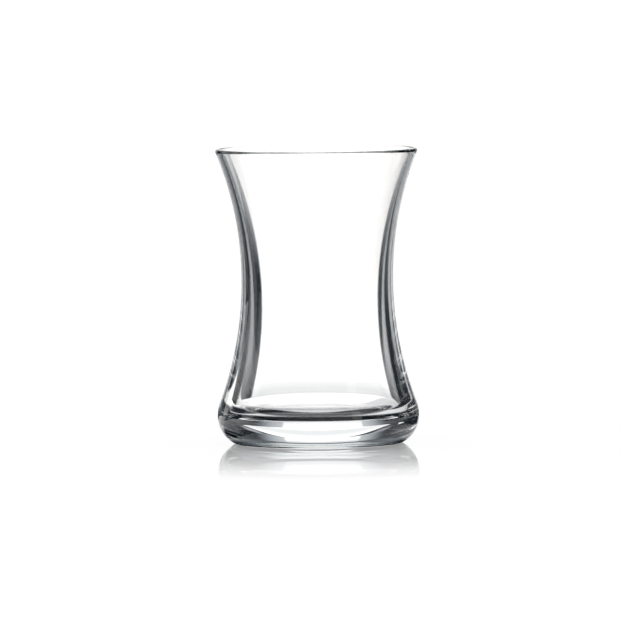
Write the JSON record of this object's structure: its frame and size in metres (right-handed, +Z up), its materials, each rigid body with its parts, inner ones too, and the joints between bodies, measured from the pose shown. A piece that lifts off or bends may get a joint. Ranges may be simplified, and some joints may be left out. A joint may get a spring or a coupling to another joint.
{
  "type": "turkish tea glass",
  "caption": "Waisted clear drinking glass for hot tea: flared open mouth, narrow waist to hold, and a thick heavy rounded foot; a single pressed piece.",
  "frame": {"origin": "centre of the bearing ring, on the surface that the glass stands on", "axes": "+Z up along the turned axis, towards the mouth; +X and +Y are alike"},
  "size_m": [0.0618, 0.0618, 0.09],
  "materials": {
    "clear_glass": "clear polished pressed glass, faintly blue-green where it is thick"
  },
  "bodies": {
    "root": {"glass": "clear_glass"}
  },
  "joints": []
}
